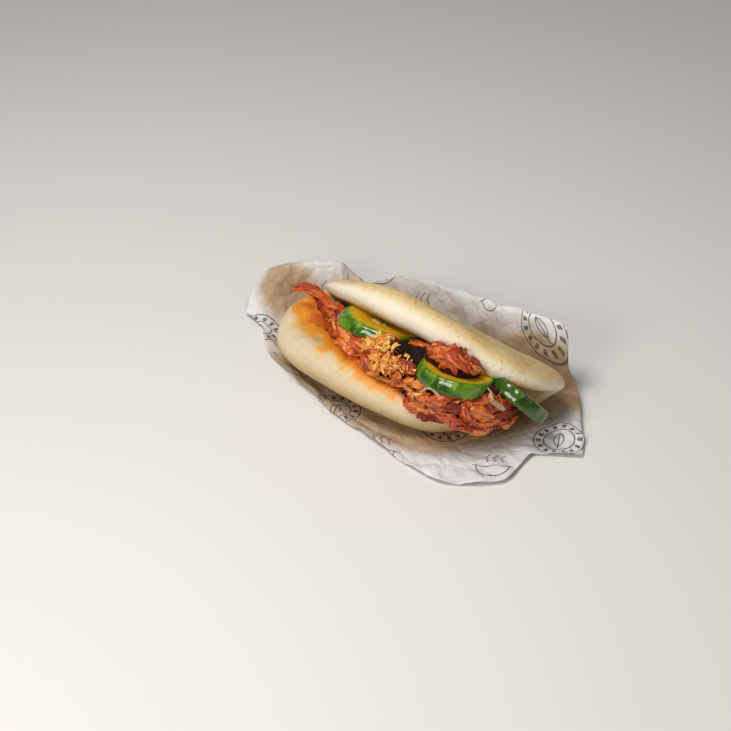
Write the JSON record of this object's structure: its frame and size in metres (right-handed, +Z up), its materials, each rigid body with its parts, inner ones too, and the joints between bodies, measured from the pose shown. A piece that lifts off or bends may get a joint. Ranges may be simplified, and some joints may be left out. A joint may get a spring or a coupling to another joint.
{
  "type": "gua bao",
  "caption": "Steamed bread folded over pulled pork, cucumber slices and crisp onion, lying half open on a crumpled sheet of greaseproof paper.",
  "frame": {"origin": "middle of the bounding box, on the plane that the paper lies on", "axes": "+X along the fold from the left tip to the right tip, +Z up, and the open mouth faces -Y"},
  "size_m": [0.1706, 0.0886, 0.0468],
  "materials": {
    "bread": "soft steamed dough with a fine dimpled skin, satin",
    "pork": "moist sauced meat, glossy in places",
    "cucumber": "glossy ridged dark green skin round pale wet flesh",
    "paper": "thin greaseproof sheet with a faint sheen and a loose dark line print"
  },
  "bodies": {
    "root": {"bun": "bread", "cucumber_left": "cucumber", "cucumber_middle": "cucumber", "cucumber_right": "cucumber", "pork": "pork", "paper": "paper"}
  },
  "joints": []
}
